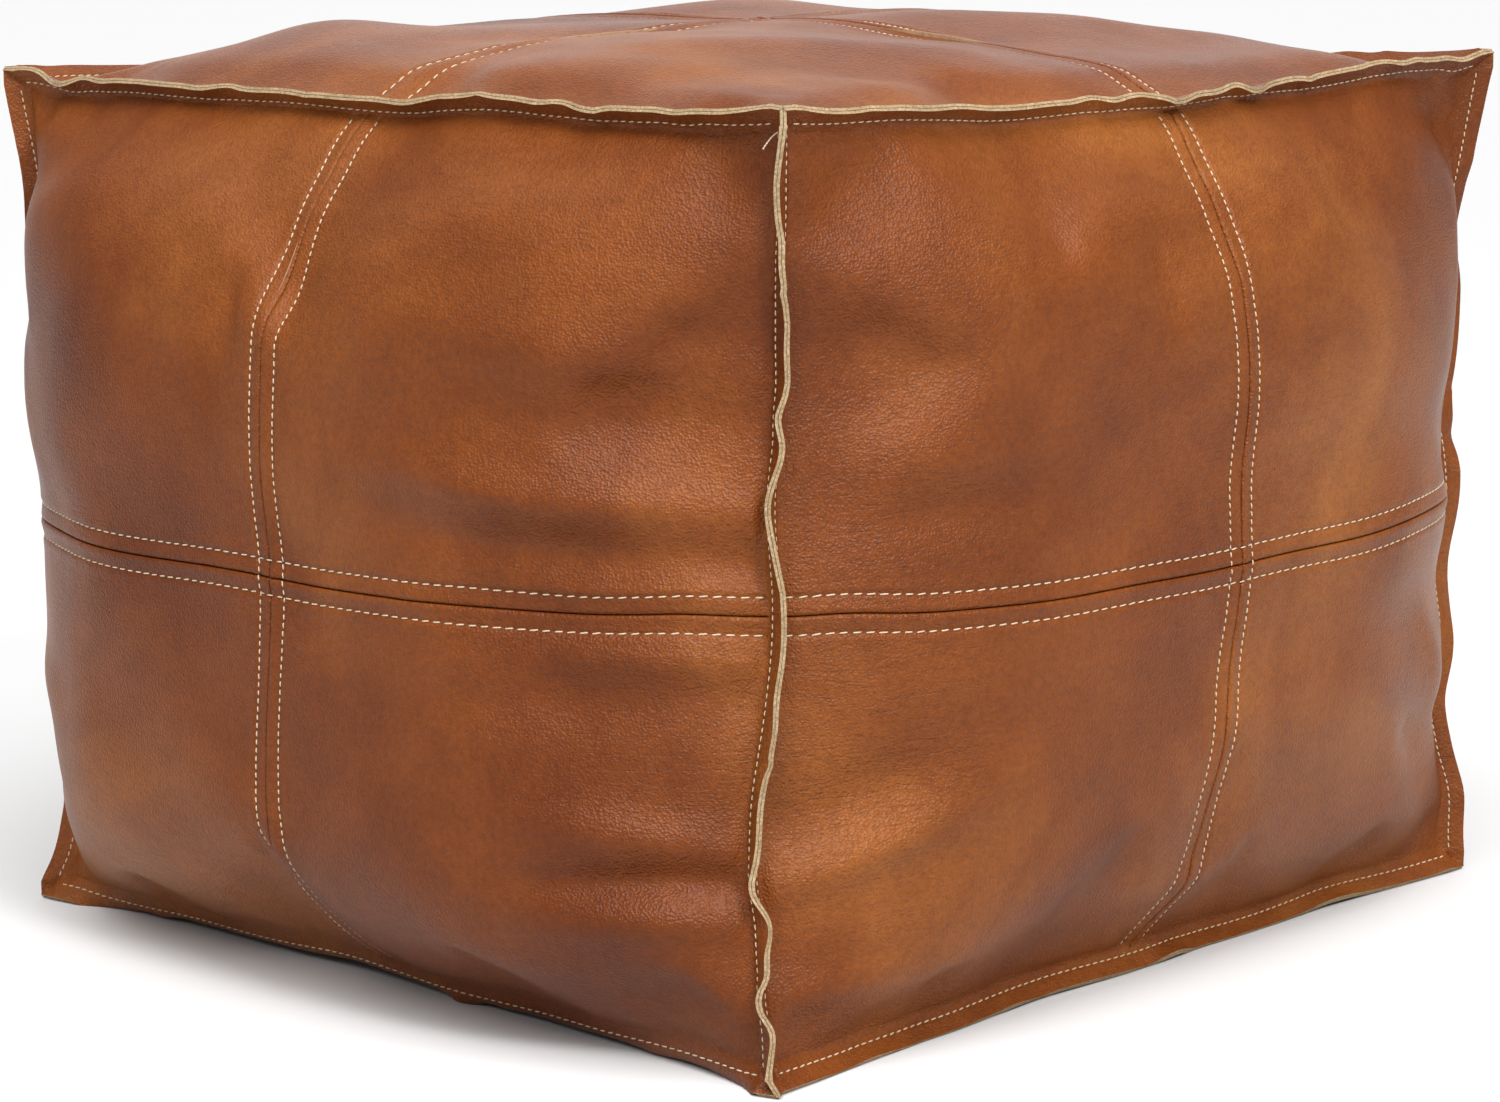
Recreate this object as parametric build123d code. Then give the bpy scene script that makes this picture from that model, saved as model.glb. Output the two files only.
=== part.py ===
from build123d import *
import os
from math import sqrt

# Square stuffed leather pouf: a cube-like cover of six faces, each sewn from four leather
# panels round a cross of seams. Every cube edge is an outward seam whose two raw edges stand
# up as a flange. Inside are a cotton bag and its filling, and a zip closes the base.
# Millimetres, +Z up. The origin is on the floor, under the middle of the pouf.
# "front" is the -Y side, "left" the -X side.

# cover
half_side = 245.0        # middle of the pouf to an upright face's seam lines
half_height = 196.0      # half of the distance between the top and the base seam lines
side_bulge = 56.0        # how far the filling pushes an upright face out, at its middle
top_bulge = 26.5         # the same for the top
leather = 1.6
flange = 11.0            # seam line to raw edge
seam_gap = 0.25          # half of the closed gap between two panels of a face
allowance_width = 12.0   # turned-in strip behind a cross seam
allowance_end = 24.0     # the strip ends this far from the edge seam
thread_depth = 0.5
thread_width = 0.8
thread_lift = 0.03       # gap between a thread row and the leather that it lies on
row_offset = 8.0         # cross seam to each of its two rows of stitches
row_end = 6.0            # a row ends this far from the edge seam
edge_row_rise = 3.0      # edge seam to the row of stitches on its flange

# base
base_shelf = 18.0        # half width of the raised strip that carries the zip
base_slope = 50.0        # where the slope beside the raised strip reaches the floor
base_turn = 200.0        # where the base starts to rise to its edge seams
valley_width = 12.0      # half width of the shallow valley along the base's cross seam
valley_slope = 30.0
valley_rise = 1.2

# bag and filling
bag_inset = 4.5          # leather's outer face to the cotton bag
bag_cloth = 0.8
filling_inset = 5.7

# zip
zip_half_length = 195.0  # opening in the base
zip_half_gap = 6.0
zip_row = 9.0            # middle of the zip to its rows of stitches
tape_inner = 1.2
tape_outer = 15.0
tape_thick = 0.6
coil_inner = 1.0
coil_outer = 3.0
coil_thick = 1.4
coil_half_length = 187.0
stop_length = 3.0
slider_half_width = 4.5
slider_half_length = 6.0
slider_plate = 1.0
slider_gap = 0.3         # slider to tape and coils
slider_rest = 180.0      # Y of the closed slider
rail_inner = 3.3
post_half_width = 0.4
bridge_half_width = 0.8
bridge_half_length = 3.0
bridge_wall = 0.8
eye_radius = 1.1
bar_radius = 0.7
arm_inner = 2.2
arm_outer = 3.4
arm_half_thick = 0.6
arm_length = 9.0
tab_half_width = 4.0
tab_end = 28.0

# worked out
edge_rise = flange / sqrt(2)             # a flange leans out at 45 degrees
base_seam = edge_rise + leather / sqrt(2)  # height of the base's edge seams
top_seam = base_seam + 2 * half_height
middle = base_seam + half_height
diagonal = leather * sqrt(2)
reach = 400.0                            # longer than anything it has to cut


def frustum(half_u, half_v, low, high, flare):
    """A four-sided block whose sides lean 45 degrees: out with height for flare 1, in for -1."""
    bottom = Plane.XY.offset(low) * Rectangle(2 * (half_u + flare * low), 2 * (half_v + flare * low))
    top = Plane.XY.offset(high) * Rectangle(2 * (half_u + flare * high), 2 * (half_v + flare * high))
    return loft([bottom.face(), top.face()], ruled=True)


def mitre(half_u, half_v, high):
    """All that belongs to one face: the space between its 45 degree mitre planes."""
    return frustum(half_u, half_v, -20, high, 1)


def pillow_face(half_u, half_v, bulge, lift=0.0):
    """A rectangle of the given half sizes whose middle is pushed out by bulge.

    The height is bulge times (1 - u^4) (1 - v^4), u and v running from -1 to 1, so the face is
    nearly flat in the middle and turns in steeply to its seams.
    """
    steps = ((-1, 0), (-0.5, 2), (0, 0), (0.5, 2), (1, 0))
    rows = []
    for u, crown_u in steps:
        rows.append([(u * half_u, v * half_v, lift + bulge * crown_u * crown_v) for v, crown_v in steps])
    return Face.make_bezier_surface(rows)


def pillow_sheet(half_u, half_v, bulge, lift, thickness):
    """A sheet under a bulged rectangle, thickness deep, its outer face lifted by lift."""
    face = pillow_face(half_u, half_v, bulge, lift)
    return Solid.extrude(face, Vector(0, 0, -thickness))


def block(low, high):
    """A box between two corners."""
    size = [b - a for a, b in zip(low, high)]
    centre = [(a + b) / 2 for a, b in zip(low, high)]
    return Pos(*centre) * Box(*size)


def flange_ring(half_u, half_v):
    """One face's layer of leather in the four flanges round it."""
    rise = edge_rise + 3
    ring = frustum(half_u, half_v, -5, rise, 1)
    ring &= frustum(half_u + 2 * edge_rise, half_v + 2 * edge_rise, -5, rise, -1)
    ring -= frustum(half_u - diagonal, half_v - diagonal, -8, rise + 3, 1)
    ring -= frustum(half_u - diagonal, half_v - diagonal, -8, rise + 3, -1)
    return ring


def quarter(half_u, half_v, bulge, side_u, side_v):
    """The space of one of a face's four panels, which meet at the cross seams."""
    low_u, high_u = sorted((side_u * seam_gap, side_u * reach))
    low_v, high_v = sorted((side_v * seam_gap, side_v * reach))
    return block((low_u, low_v, -30), (high_u, high_v, bulge + 30))


def allowances(half_u, half_v, bulge):
    """The turned-in strips behind a face's cross seams."""
    sheet = pillow_sheet(half_u, half_v, bulge, -leather / 2, 1.5 * leather)
    end_u = half_u - allowance_end
    end_v = half_v - allowance_end
    upright = block((-allowance_width, -end_v, -30), (allowance_width, end_v, bulge + 30))
    level = block((-end_u, -allowance_width, -30), (end_u, allowance_width, bulge + 30))
    return (sheet & upright) + (sheet & level)


def bulged_face(half_u, half_v, bulge):
    """A whole upright or top face: its sheet, flanges and turned-in strips."""
    sheet = pillow_sheet(half_u, half_v, bulge, 0, leather)
    sheet = sheet & mitre(half_u, half_v, bulge + 20)
    return (sheet + flange_ring(half_u, half_v)) + allowances(half_u, half_v, bulge)


def cross_rows(half_u, half_v, bulge):
    """The rows of stitches beside a face's cross seams, just proud of the leather."""
    skin = pillow_sheet(half_u, half_v, bulge, thread_lift + thread_depth, thread_depth)
    end_u = half_u - row_end
    end_v = half_v - row_end
    half = thread_width / 2
    rows = []
    for side in (-row_offset, row_offset):
        upright = block((side - half, -end_v, -30), (side + half, end_v, bulge + 30))
        level = block((-end_u, side - half, -30), (end_u, side + half, bulge + 30))
        rows.append(upright)
        rows.append(level)
    bars = rows[0].fuse(*rows[1:])
    return skin & bars


def edge_row(half_run, half_across, turn):
    """The row of stitches on one flange: it runs along Y at +X, then turns about the face."""
    out = half_across + edge_row_rise / sqrt(2)
    lean = leather + thread_lift + thread_depth / 2
    place = Location((out - lean / sqrt(2), 0, (edge_row_rise + lean) / sqrt(2)), (0, -45, 0))
    length = 2 * (half_run - row_end)
    return Rot(0, 0, turn) * (place * Box(thread_width, length, thread_depth))


# the faces: place, half sizes, bulge, and the neighbour across each edge, by its turn
walls = {
    "front": (Plane((0, -half_side, middle), (1, 0, 0), (0, -1, 0)), ("right", "top", "left", "base")),
    "back": (Plane((0, half_side, middle), (-1, 0, 0), (0, 1, 0)), ("left", "top", "right", "base")),
    "left": (Plane((-half_side, 0, middle), (0, -1, 0), (-1, 0, 0)), ("front", "top", "back", "base")),
    "right": (Plane((half_side, 0, middle), (0, 1, 0), (1, 0, 0)), ("back", "top", "front", "base")),
    "top": (Plane((0, 0, top_seam), (1, 0, 0), (0, 0, 1)), ("right", "back", "left", "front")),
}
base_place = Plane((0, 0, base_seam), (1, 0, 0), (0, 0, -1))
base_neighbours = ("right", "front", "left", "back")
name_order = ("top", "base", "front", "back", "left", "right")


def half_sizes(name):
    return (half_side, half_side, top_bulge) if name == "top" else (half_side, half_height, side_bulge)


def panel_names(name):
    """The four panels of a face, by the signs of their local U and V."""
    if name in ("front", "back"):
        sides = {1: "right", -1: "left"} if name == "front" else {1: "left", -1: "right"}
        ends = {1: "upper", -1: "lower"}
    elif name in ("left", "right"):
        sides = {1: "front", -1: "back"} if name == "left" else {1: "back", -1: "front"}
        ends = {1: "upper", -1: "lower"}
    else:
        sides = {1: "right", -1: "left"}
        ends = {1: "back", -1: "front"}
    names = {}
    for side_u, u_name in sides.items():
        for side_v, v_name in ends.items():
            names[(side_u, side_v)] = f"{name}_{v_name}_{u_name}_panel"
    return names


def edge_name(name, other):
    first, second = sorted((name, other), key=name_order.index)
    return f"{first}_{second}_edge_stitching"


def edge_rows(place, half_u, half_v, name, neighbours, nodes):
    """Add a face's rows of flange stitches to the stitching of each edge round it."""
    for step, other in enumerate(neighbours):
        along, across = (half_v, half_u) if step % 2 == 0 else (half_u, half_v)
        row = place.location * edge_row(along, across, 90 * step)
        nodes.setdefault(edge_name(name, other), []).append(row)


def base_region(shift):
    """All the space above the base's outer face, moved up by shift."""
    across = [
        (-reach, base_seam), (-half_side, base_seam), (-base_turn, 0), (-base_slope, 0),
        (-base_shelf, base_seam), (base_shelf, base_seam), (base_slope, 0), (base_turn, 0),
        (half_side, base_seam), (reach, base_seam), (reach, reach), (-reach, reach),
    ]
    along = [
        (-reach, base_seam), (-half_side, base_seam), (-base_turn, 0), (-valley_slope, 0),
        (-valley_width, valley_rise), (valley_width, valley_rise), (valley_slope, 0), (base_turn, 0),
        (half_side, base_seam), (reach, base_seam), (reach, reach), (-reach, reach),
    ]
    by_x = Plane.XZ * Polygon(*across, align=None)
    by_y = Plane.YZ * Polygon(*along, align=None)
    prism_x = extrude(by_x, reach, both=True)
    prism_y = extrude(by_y, reach, both=True)
    return Pos(0, 0, shift) * (prism_x & prism_y)


def base_face():
    """The whole base: a sheet that is flat on the floor and rises to its seams and its zip."""
    sheet = base_region(0) - base_region(leather)
    sheet &= base_place.location * mitre(half_side, half_side, 60)
    return sheet + base_place.location * flange_ring(half_side, half_side)


def base_panels():
    face = base_face()
    nodes = {}
    opening = block((-zip_half_gap, -zip_half_length, -10), (zip_half_gap, zip_half_length, 30))
    for side_x, x_name in ((-1, "left"), (1, "right")):
        for side_y, y_name in ((-1, "front"), (1, "back")):
            space = quarter(half_side, half_side, 30, side_x, side_y) - opening
            nodes[f"base_{y_name}_{x_name}_panel"] = face & space
    return nodes


def base_rows():
    """The rows of stitches beside the base's cross seam, from the zip to the edge seams."""
    skin = base_region(-thread_lift - thread_depth) - base_region(-thread_lift)
    inner = zip_row + 2
    outer = half_side - row_end
    rows = []
    for side in (-row_offset, row_offset):
        for low, high in ((-outer, -inner), (inner, outer)):
            low_y = side - thread_width / 2
            rows.append(block((low, low_y, -10), (high, low_y + thread_width, 30)))
    return [skin & row for row in rows]


def core(inset):
    """The pouf's stuffed inside, inset from the leather's outer face."""
    half = half_side - inset
    half_z = half_height - inset
    shape = Pos(0, 0, middle) * Box(2 * half, 2 * half, 2 * half_z)
    for name, (place, _) in walls.items():
        _, height, bulge = half_sizes(name)
        dome = Solid.extrude(pillow_face(half, height - inset, bulge), Vector(0, 0, -bulge - 10))
        dome = dome & mitre(half, height - inset, bulge + 20)
        shape = shape + place.offset(-inset).location * dome
    return shape & base_region(inset)


# zip, along Y under the raised strip of the base
tape_low = base_seam + leather + 0.02
tape_high = tape_low + tape_thick
coil_low = tape_low - coil_thick
plate_high = coil_low - slider_gap
plate_low = plate_high - slider_plate
hinge_z = plate_low - eye_radius
bridge_low = hinge_z - eye_radius - bridge_wall


def zip_rows():
    half = thread_width / 2
    low = base_seam - thread_lift - thread_depth
    rows = []
    for side in (-zip_row, zip_row):
        end = half_side - row_end
        rows.append(block((side - half, -end, low), (side + half, end, low + thread_depth)))
    return rows


def zip_side(side, inner, outer, end, low, high):
    x_low, x_high = sorted((side * inner, side * outer))
    return block((x_low, -end, low), (x_high, end, high))


def zip_stop(side):
    low_y, high_y = sorted((side * (coil_half_length + 0.2), side * (coil_half_length + 0.2 + stop_length)))
    return block((-coil_outer - 0.4, low_y, coil_low), (coil_outer + 0.4, high_y, tape_low))


def zip_slider():
    """Two plates joined by a post at the nose, rails beside the coils and a bridge for the pull."""
    y_low = slider_rest - slider_half_length
    y_high = slider_rest + slider_half_length
    inner_low = tape_high + slider_gap
    outer = block((-slider_half_width, y_low, plate_low), (slider_half_width, y_high, plate_high))
    outer = fillet(outer.edges().filter_by(Axis.Z), 2.0)
    inner = block((-slider_half_width, y_low, inner_low), (slider_half_width, y_high, inner_low + 0.8))
    inner = fillet(inner.edges().filter_by(Axis.Z), 2.0)
    post = block((-post_half_width, y_high - 3, plate_high), (post_half_width, y_high - 0.5, inner_low))
    slider = outer + inner + post
    for side in (-1, 1):
        x_low, x_high = sorted((side * rail_inner, side * slider_half_width))
        rail = block((x_low, y_low + 2, plate_high), (x_high, y_high - 2, tape_low - slider_gap))
        slider += rail
    bridge = block(
        (-bridge_half_width, slider_rest - bridge_half_length, bridge_low),
        (bridge_half_width, slider_rest + bridge_half_length, plate_low),
    )
    eye = Location((0, slider_rest, hinge_z), (0, 90, 0)) * Cylinder(eye_radius, 4)
    return slider + (bridge - eye)


def zip_pull():
    """A flat tab with a window; its end bar turns in the slider's bridge."""
    bar = Location((0, slider_rest, hinge_z), (0, 90, 0)) * Cylinder(bar_radius, 2 * arm_outer)
    low = hinge_z - arm_half_thick
    high = hinge_z + arm_half_thick
    pull = bar
    for side in (-1, 1):
        x_low, x_high = sorted((side * arm_inner, side * arm_outer))
        pull += block((x_low, slider_rest - arm_length - 1, low), (x_high, slider_rest, high))
    tab = block((-tab_half_width, slider_rest - tab_end, low), (tab_half_width, slider_rest - arm_length, high))
    tab = fillet(tab.edges().filter_by(Axis.Z), 1.5)
    hole = Location((0, slider_rest - tab_end + 5, hinge_z)) * Cylinder(1.5, 4)
    return pull + (tab - hole)


def build():
    nodes = {}
    edges = {}
    for name, (place, neighbours) in walls.items():
        half_u, half_v, bulge = half_sizes(name)
        face = bulged_face(half_u, half_v, bulge)
        for signs, panel in panel_names(name).items():
            nodes[panel] = place.location * (face & quarter(half_u, half_v, bulge, *signs))
        nodes[f"{name}_cross_stitching"] = place.location * cross_rows(half_u, half_v, bulge)
        edge_rows(place, half_u, half_v, name, neighbours, edges)
    nodes.update(base_panels())
    nodes["base_cross_stitching"] = Compound(base_rows())
    edge_rows(base_place, half_side, half_side, "base", base_neighbours, edges)
    for name, rows in edges.items():
        nodes[name] = Compound(rows)
    bag = core(bag_inset)
    nodes["cotton_bag"] = bag - core(bag_inset + bag_cloth)
    nodes["filling"] = core(filling_inset)
    for side, side_name in ((-1, "left"), (1, "right")):
        nodes[f"zip_{side_name}_tape"] = zip_side(
            side, tape_inner, tape_outer, zip_half_length + 10, tape_low, tape_high
        )
        nodes[f"zip_{side_name}_coil"] = zip_side(
            side, coil_inner, coil_outer, coil_half_length, coil_low, tape_low
        )
    nodes["zip_front_stop"] = zip_stop(-1)
    nodes["zip_back_stop"] = zip_stop(1)
    nodes["zip_stitching"] = Compound(zip_rows())
    nodes["zip_slider"] = zip_slider()
    nodes["zip_pull"] = zip_pull()
    return nodes


os.makedirs("parts", exist_ok=True)
for node, shape in build().items():
    export_step(shape, f"parts/{node}.step")
print("hinge height", round(hinge_z, 3), "bridge low", round(bridge_low, 3))
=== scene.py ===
import math

import bpy
import numpy as np
from mathutils import Matrix, Vector


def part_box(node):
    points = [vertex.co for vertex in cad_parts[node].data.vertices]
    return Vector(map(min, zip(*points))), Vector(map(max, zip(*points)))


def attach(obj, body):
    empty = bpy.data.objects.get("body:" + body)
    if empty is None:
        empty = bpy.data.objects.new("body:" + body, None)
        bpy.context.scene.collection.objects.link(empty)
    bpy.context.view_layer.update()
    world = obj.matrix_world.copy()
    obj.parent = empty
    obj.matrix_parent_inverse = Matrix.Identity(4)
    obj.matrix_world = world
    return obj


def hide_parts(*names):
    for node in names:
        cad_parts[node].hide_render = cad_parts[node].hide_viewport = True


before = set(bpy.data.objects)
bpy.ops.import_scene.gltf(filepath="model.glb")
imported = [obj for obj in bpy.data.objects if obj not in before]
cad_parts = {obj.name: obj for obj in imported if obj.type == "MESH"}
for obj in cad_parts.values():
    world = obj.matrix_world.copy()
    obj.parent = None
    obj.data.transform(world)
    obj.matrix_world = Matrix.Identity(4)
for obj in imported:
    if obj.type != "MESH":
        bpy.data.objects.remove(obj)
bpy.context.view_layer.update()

# Meshes are in millimetres here, and MM turns them into the frame's metres. Materials, floor and lights are
# in metres. Faces: front is -Y, left is -X. u and v run from -1 to 1 across a face, seam to seam.
MM = 0.001

leather = 1.6            # thickness of a panel
flange = 11.0            # edge seam to raw edge
layer_gap = 0.12         # half of the gap between the two layers of a flange
row_offset = 8.0         # cross seam to each of its rows of stitches
edge_row = 3.2           # edge seam to the row of stitches on the flange
stitches = {             # pitch and length of the stitches of each kind of row
    "level": (5.7, 3.7), "upright": (3.7, 2.4), "edge": (3.6, 2.4), "long edge": (4.7, 3.1),
    "zip": (3.0, 2.0), "loose end": (1.1, 1.3),
}
thread_radius = 0.33
stitch_slant = 5.0       # degrees from the row

lean = flange / math.sqrt(2)
half_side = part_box("base_back_right_panel")[1].x / MM - lean
top_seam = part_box("right_upper_front_panel")[1].z / MM - lean
base_seam = (flange + leather) / math.sqrt(2)
half_height = (top_seam - base_seam) / 2
middle = (top_seam + base_seam) / 2

face_axes = {
    "front": ((1, 0, 0), (0, 0, 1), (0, -1, 0)),
    "back": ((-1, 0, 0), (0, 0, 1), (0, 1, 0)),
    "left": ((0, -1, 0), (0, 0, 1), (-1, 0, 0)),
    "right": ((0, 1, 0), (0, 0, 1), (1, 0, 0)),
    "top": ((1, 0, 0), (0, 1, 0), (0, 0, 1)),
    "base": ((1, 0, 0), (0, -1, 0), (0, 0, -1)),
}
face_axes = {name: tuple(np.array(a, float) for a in axes) for name, axes in face_axes.items()}
half_extent = np.array([half_side, half_side, half_height])
centre = np.array([0, 0, middle])
side_cells, up_cells = 48, 38
box_cells = np.array([side_cells, side_cells, up_cells])
outer = np.multiply.outer


def unit(v):
    return v / np.maximum(np.linalg.norm(v, axis=-1, keepdims=True), 1e-9)


def bump(x, place, width):
    """A soft bump of height 1 at place."""
    return np.exp(-(((x - place) / width) ** 2))


def ease(x):
    """A smooth step from 0 at 0 to 1 at 1."""
    x = np.clip(x, 0, 1)
    return x * x * (3 - 2 * x)


def grid_faces(numbers, flip=False):
    """Quads of a grid of vertex numbers."""
    a, b, c, d = numbers[:-1, :-1], numbers[1:, :-1], numbers[1:, 1:], numbers[:-1, 1:]
    quads = np.stack([a, b, c, d], -1).reshape(-1, 4)
    return quads[:, ::-1] if flip else quads


def add_object(name, data):
    """A new object in the scene."""
    made = bpy.data.objects.new(name, data)
    bpy.context.collection.objects.link(made)
    return made


def whole(v):
    """A direction as the key of an edge or a corner."""
    return tuple(int(round(k)) for k in v)


sign_pairs = [(a, b) for a in (-1, 1) for b in (-1, 1)]


# ---- the seams between the faces

# A cube edge or corner is named by its signs along X, Y and Z, with 0 for the way it runs.
corner_shift = {         # how far each corner sits from a true box's
    (-1, 1, 1): (-0.6, 0.8, 0.6),
    (-1, -1, 1): (1.1, -1.4, -0.6),
    (1, -1, 1): (2, -2.2, -0.4),
    (1, 1, 1): (0, 1, -0.5),
    (-1, 1, -1): (-1.5, -3, 0),
    (-1, -1, -1): (-2.7, 2.9, 0),
    (1, -1, -1): (-2.3, 3.2, 0),
    (1, 1, -1): (1.5, -1, 0),
}
edge_bow = {             # pull of each edge seam's middle, and how flat that pull is before and after it
    (-1, 0, 1): ((-2, 0, -2.6), 2.5, 2.5),
    (0, -1, 1): ((0, -3.5, -5.8), 2.5, 1.6),
    (1, 0, 1): ((-3, 0, -6), 2.5, 2.5),
    (0, 1, 1): ((0, -3, -6), 2.5, 2.5),
    (-1, 0, -1): ((2, 0, 2.2), 4, 4),
    (0, -1, -1): ((0, 7, 0), 2.5, 2.5),
    (1, 0, -1): ((5, 0, 0), 2.5, 2.5),
    (0, 1, -1): ((0, -5, 0), 2.5, 2.5),
    (-1, -1, 0): ((9, 9, 0), 2.2, 2.2),
    (-1, 1, 0): ((9.6, -9, 0), 9, 1.7),
    (1, -1, 0): ((-10, 10, 0), 2.4, 2.4),
    (1, 1, 0): ((-10, -10, 0), 2.2, 2.6),
}
edge_drift = {           # side pulls of two upright seams: place along the seam, size and width
    (-1, -1, 0): ((0.25, 3.0, 0.15), (-0.5, 9.8, 0.42), (-0.98, 2.0, 0.3)),
    (1, -1, 0): ((0.2, 1.5, 0.1), (-0.04, -5.0, 0.16), (-0.38, -3.5, 0.12), (-0.58, 2.0, 0.08),
                 (-0.84, -3.5, 0.1)),
}
drift_way = np.array([-0.69, 0.72, 0])


def edge_wander(key, s):
    """The small sideways wander of an edge seam, along s from -1 to 1."""
    ends = 1 - np.abs(s) ** 6
    side = np.array(key, float)
    other = np.cross(side == 0, side)
    phase = 1.7 * key[0] + 2.9 * key[1] + 4.3 * key[2]
    sway = 0.8 * np.sin(5.2 * s + phase) + 0.5 * np.sin(11.3 * s + 2 * phase)
    heave = 0.7 * np.sin(6.9 * s + 3 * phase) + 0.4 * np.sin(13.7 * s + phase)
    move = outer(sway * ends, other / 1.4) - outer(heave * ends, side / 1.4)
    drift = sum(size * bump(s, place, width) for place, size, width in edge_drift.get(key, ()))
    return move + outer(drift + 0 * s, drift_way)


def corner_point(key):
    return centre + np.array(key) * half_extent + np.array(corner_shift[key])


def edge_point(key, s):
    """Points of an edge seam, s running from -1 to 1 the way its axis does."""
    low, high = (corner_point(tuple(k or sign for k in key)) for sign in (-1, 1))
    share = (s + 1) / 2
    pull, flat_low, flat_high = edge_bow[key]
    straight = outer(1 - share, low) + outer(share, high)
    pulled = 1 - np.abs(s) ** np.where(s < 0, flat_low, flat_high)
    return straight + outer(pulled, np.array(pull)) + edge_wander(key, s)


def face_edge(name, fixed, sign):
    """(edge key, 1 or -1) for a face's edge at u = sign (fixed 'u') or v = sign (fixed 'v')."""
    u_axis, v_axis, normal = face_axes[name]
    side, along = (u_axis, v_axis) if fixed == "u" else (v_axis, u_axis)
    return whole(normal + sign * side), int(round(along.sum()))


# ---- the stuffed shape

face_bulge = {"front": 62.0, "back": 68.0, "left": 73.0, "right": 68.0, "top": 40.0}
fullness = {             # how squarely a face fills out, at u below and above 0, then v below and above 0
    "front": (3.3, 4.2, 3.9, 3.9), "back": (4.0, 4.0, 4.4, 3.9), "left": (5.6, 3.3, 6.0, 4.2),
    "right": (3.8, 4.0, 4.6, 4.0), "top": (2.9, 3.3, 2.7, 3.4),
}
seam_drop = 7.0          # the level seams hang this far under the middle
zip_strip = (18.0, 50.0)         # off the base's middle seam: raised up to here, on the floor from here on
base_rise = (200.0, 238.0)       # off the base's middle: on the floor up to here, at seam height from here on
valley_rise, valley = 1.4, (10.0, 22.0)    # lift along the level seam, where it ends and how softly
base_gap = 0.15                  # between the base and the floor


def base_shape(flat):
    """The base: flat on the floor, but for the strip with the zip and the rise to its seams."""
    points = flat.copy()
    x, y = np.abs(flat[:, 0]), np.abs(flat[:, 1])
    strip = base_seam * (1 - ease((x - zip_strip[0]) / (zip_strip[1] - zip_strip[0])))
    level = valley_rise * (1 - ease((y - valley[0]) / valley[1]))
    rim = base_seam * ease((np.maximum(x, y) - base_rise[0]) / (base_rise[1] - base_rise[0]))
    points[:, 2] = np.maximum(np.maximum(strip, rim), np.maximum(level, base_gap))
    return points


def stuffed_face(name, u, v):
    """Points of a face before its cloth is relaxed, for flat arrays u and v."""
    u_axis, v_axis, normal = face_axes[name]
    curves = {}
    for fixed, along in (("u", v), ("v", u)):
        for sign in (-1, 1):
            key, way = face_edge(name, fixed, sign)
            curves[fixed, sign] = edge_point(key, way * along)
    corners = {(a, b): corner_point(whole(normal + a * u_axis + b * v_axis)) for a, b in sign_pairs}
    p, q = ((u + 1) / 2)[:, None], ((v + 1) / 2)[:, None]
    flat = (1 - p) * curves["u", -1] + p * curves["u", 1] + (1 - q) * curves["v", -1] + q * curves["v", 1]
    flat -= (1 - p) * (1 - q) * corners[-1, -1] + p * (1 - q) * corners[1, -1]
    flat -= (1 - p) * q * corners[-1, 1] + p * q * corners[1, 1]
    if name == "base":    # its middle seam, where the zip is, stays straight
        seam_x = (curves["u", -1][:, 0] + curves["u", 1][:, 0]) / 2
        for sign, share in ((-1, 1 - q[:, 0]), (1, q[:, 0])):
            end = edge_point(face_edge(name, "v", sign)[0], np.zeros(1))[0, 0]
            seam_x += share * (end - (corners[-1, sign][0] + corners[1, sign][0]) / 2)
        flat[:, 0] -= seam_x * (1 - np.abs(u)) * (1 - ease((np.abs(v) - 0.84) / 0.16))
        return base_shape(flat)
    n_left, n_right, n_low, n_high = fullness[name]
    swell = 1 - np.abs(u) ** np.where(u < 0, n_left, n_right)
    swell *= 1 - np.abs(v) ** np.where(v < 0, n_low, n_high)
    points = flat + outer(face_bulge[name] * swell, normal)
    if name != "top":
        points[:, 2] -= seam_drop * (1 - v**2) ** 1.5
    return points


# ---- cloth


def weld(sheets, cells):
    """One closed surface from six sheets on a box lattice: its points and each sheet's vertex numbers."""
    numbers, points, grids = {}, [], {}
    for name, (us, vs, sheet) in sheets.items():
        u_axis, v_axis, normal = face_axes[name]
        cube = us[:, None, None] * u_axis + vs[:, None] * v_axis + normal
        spots = np.round((cube + 1) / 2 * cells).astype(int).reshape(-1, 3)
        grid = np.zeros(len(spots), int)
        for k, spot in enumerate(map(tuple, spots)):
            if spot not in numbers:
                numbers[spot] = len(points)
                points.append(sheet.reshape(-1, 3)[k])
            grid[k] = numbers[spot]
        grids[name] = grid.reshape(len(us), len(vs))
    return np.array(points), grids


cloth_settings = {
    "quality": 8, "mass": 0.8, "tension_stiffness": 60, "compression_stiffness": 60, "shear_stiffness": 20,
    "bending_stiffness": 12, "tension_damping": 15, "compression_damping": 15, "shear_damping": 10,
    "bending_damping": 2, "air_damping": 4, "vertex_group_mass": "held", "use_pressure": True,
    "uniform_pressure_force": 5.0, "shrink_min": -0.018,
}
cloth_steps = 24
most_move = 9.0          # no point moves further than this


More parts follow.
